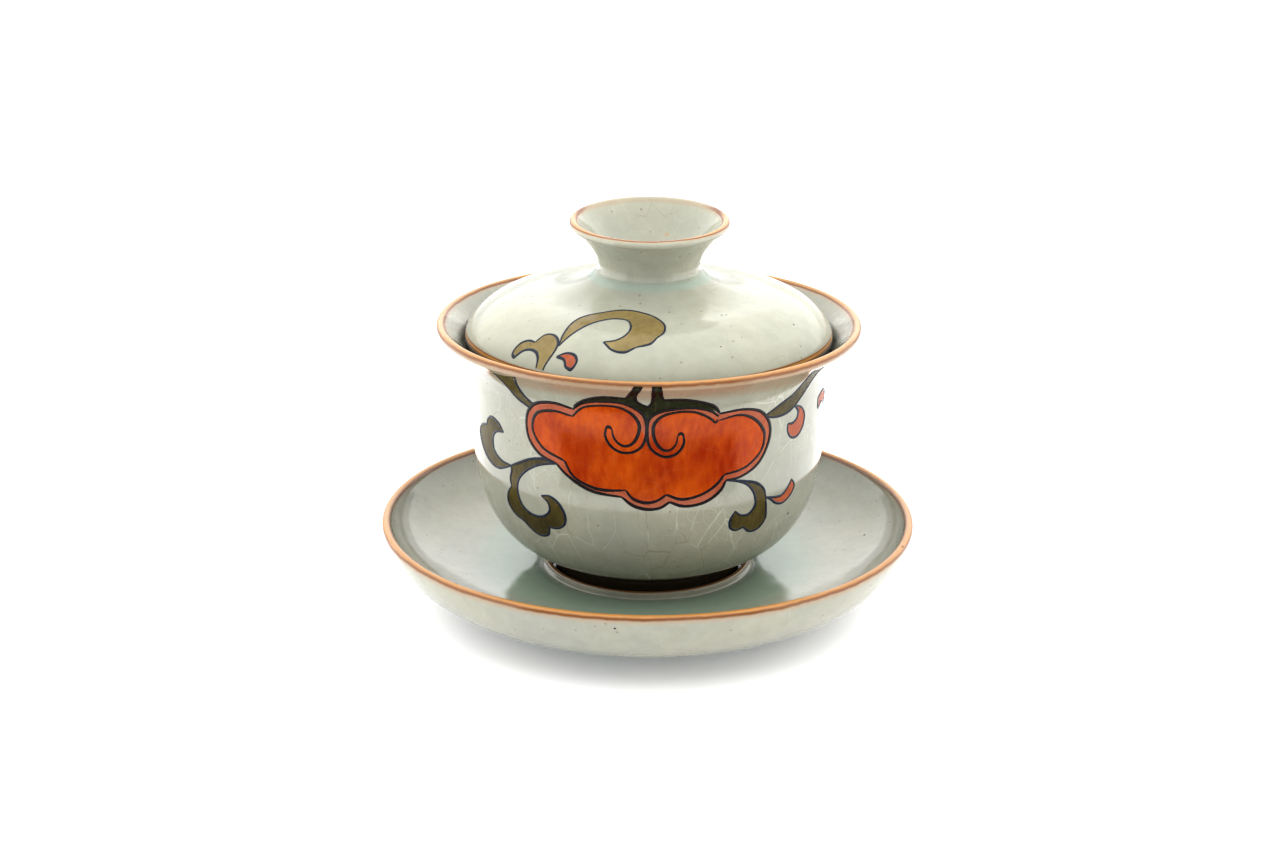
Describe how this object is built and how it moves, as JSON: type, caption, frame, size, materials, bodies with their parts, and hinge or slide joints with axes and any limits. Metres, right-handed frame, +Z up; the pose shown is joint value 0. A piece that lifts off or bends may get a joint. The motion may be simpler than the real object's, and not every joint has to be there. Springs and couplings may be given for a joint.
{
  "type": "gaiwan",
  "caption": "Lidded tea bowl with a flared mouth, a domed lid with a hollow flared knob, and a dished saucer with a seat ring; the lid and the bowl lift off.",
  "frame": {"origin": "middle of the face that the saucer's foot ring rests on", "axes": "+Z up the common axis of saucer, bowl and lid; X and Y level, with the painted motif facing -Y"},
  "size_m": [0.118, 0.118, 0.0869],
  "materials": {
    "celadon_glaze": "glossy pale grey-green crackled glaze",
    "iron_rim": "glossy golden-brown iron dressing on lips and edges",
    "orange_enamel": "glossy enamel, slightly mottled",
    "coral_enamel": "glossy thin enamel",
    "olive_enamel": "glossy enamel, brown-green",
    "dark_brush_line": "blue-black brushed outline under the glaze",
    "bare_clay": "matt unglazed stoneware on the foot rings"
  },
  "bodies": {
    "saucer": {"saucer": "celadon_glaze", "saucer_seat_ring": "celadon_glaze"},
    "bowl": {"bowl": "celadon_glaze"},
    "lid": {"lid_dome": "celadon_glaze", "lid_knob": "celadon_glaze"}
  },
  "joints": [
    {"name": "bowl_lift", "type": "slide", "parent": "saucer", "child": "bowl", "axis": [0, 0, 1], "range_m": [0, 0.06]},
    {"name": "lid_lift", "type": "slide", "parent": "bowl", "child": "lid", "axis": [0, 0, 1], "range_m": [0, 0.05]}
  ]
}
